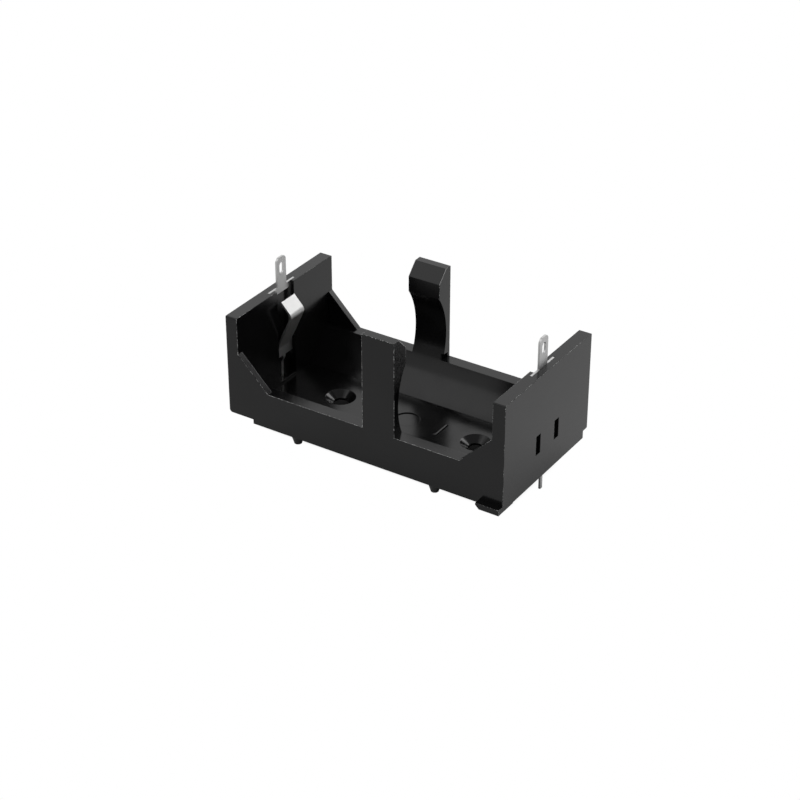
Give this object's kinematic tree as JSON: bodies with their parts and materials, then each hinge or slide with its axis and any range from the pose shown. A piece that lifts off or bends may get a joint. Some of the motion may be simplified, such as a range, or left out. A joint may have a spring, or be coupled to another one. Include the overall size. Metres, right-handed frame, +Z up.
{
  "type": "d cell battery holder",
  "caption": "Moulded black cradle for a D cell, with hooked spring arms, sheet-metal leaf contacts with solder lugs and board pins, and countersunk screw holes in its floor.",
  "frame": {"origin": "on the seating face, midway between the two screw holes", "axes": "+X along the cell, from the positive contact to the negative contact; +Z up, out of the board"},
  "size_m": [0.0724, 0.0408, 0.0382],
  "materials": {
    "black_plastic": "semi-gloss injection moulding",
    "plated_spring_steel": "bright nickel plate"
  },
  "bodies": {
    "root": {"housing": "black_plastic", "positive_contact": "plated_spring_steel", "negative_contact": "plated_spring_steel"}
  },
  "joints": []
}
